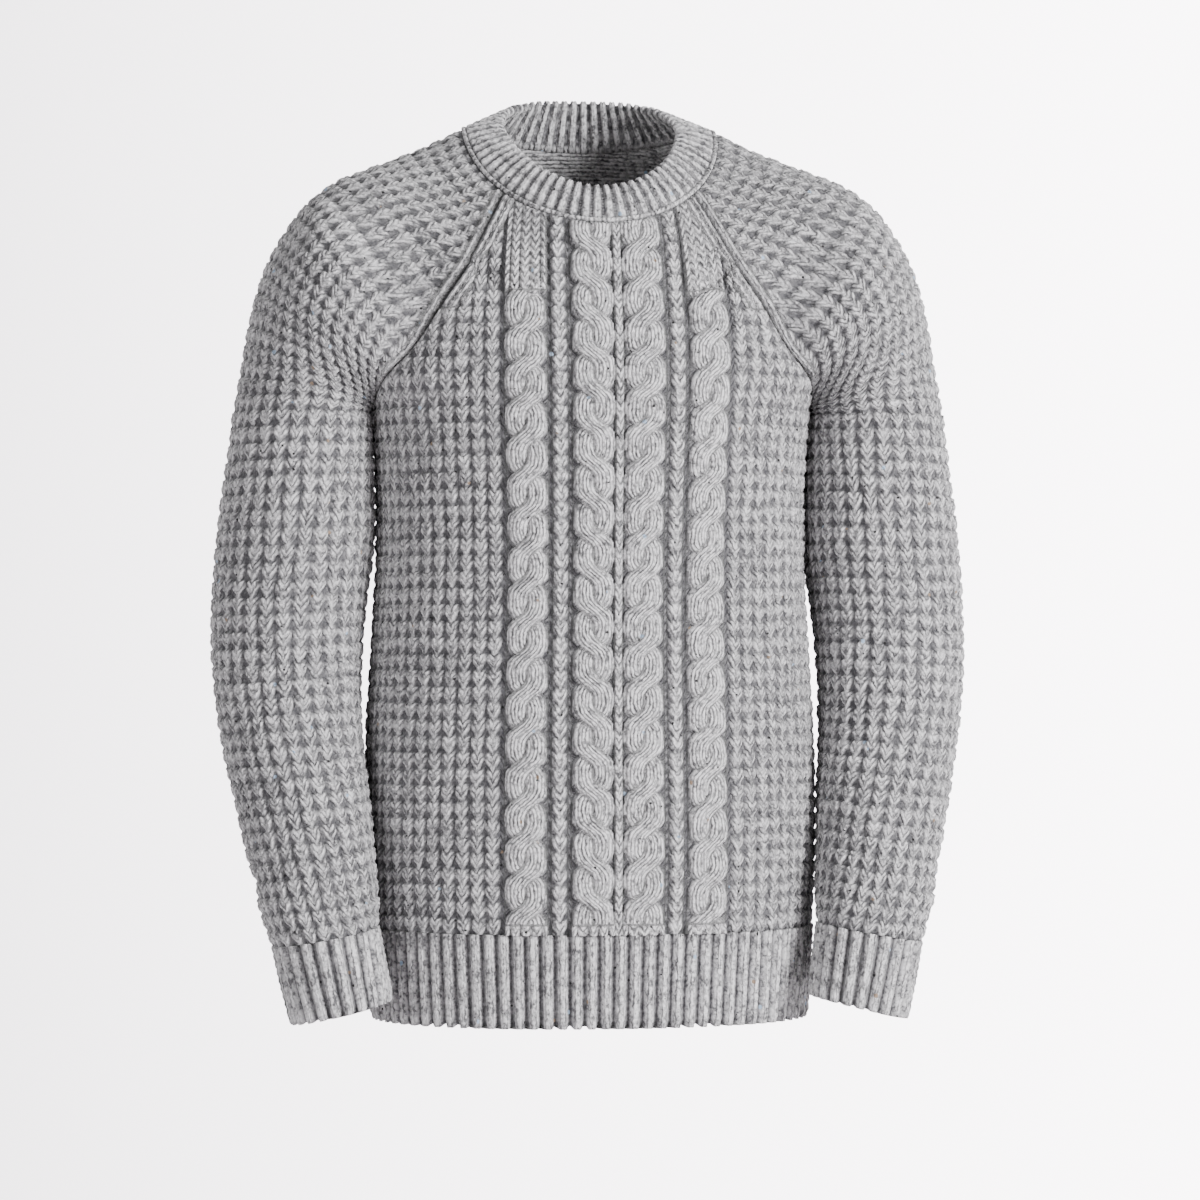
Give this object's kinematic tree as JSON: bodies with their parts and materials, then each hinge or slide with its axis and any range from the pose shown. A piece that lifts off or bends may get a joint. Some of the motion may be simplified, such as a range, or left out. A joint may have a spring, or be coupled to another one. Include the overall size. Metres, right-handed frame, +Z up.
{
  "type": "cable knit sweater",
  "caption": "Long-sleeved raglan crew-neck pullover in chunky waffle knit with cables down the front, ribbed neckband, hem and cuffs, in its worn form.",
  "frame": {"origin": "on the middle line where the wearer's shoulders carry the sweater, 14 mm below the neckline's side points", "axes": "+Z up, the front faces -Y, the wearer's left sleeve is on +X"},
  "size_m": [0.5686, 0.2361, 0.6967],
  "materials": {
    "front_body": "light grey heather tweed wool, thick soft knit",
    "back_body": "light grey heather tweed wool, thick soft knit",
    "sleeve_left": "light grey heather tweed wool, thick soft knit",
    "sleeve_right": "light grey heather tweed wool, thick soft knit",
    "neckband": "light grey heather tweed wool, thick soft knit",
    "hem_rib_front": "light grey heather tweed wool, thick soft knit",
    "hem_rib_back": "light grey heather tweed wool, thick soft knit",
    "cuff_left": "light grey heather tweed wool, thick soft knit",
    "cuff_right": "light grey heather tweed wool, thick soft knit"
  },
  "bodies": {
    "root": {"front_body": "front_body", "back_body": "back_body", "sleeve_left": "sleeve_left", "sleeve_right": "sleeve_right", "neckband": "neckband", "hem_rib_front": "hem_rib_front", "hem_rib_back": "hem_rib_back", "cuff_left": "cuff_left", "cuff_right": "cuff_right"}
  },
  "joints": []
}
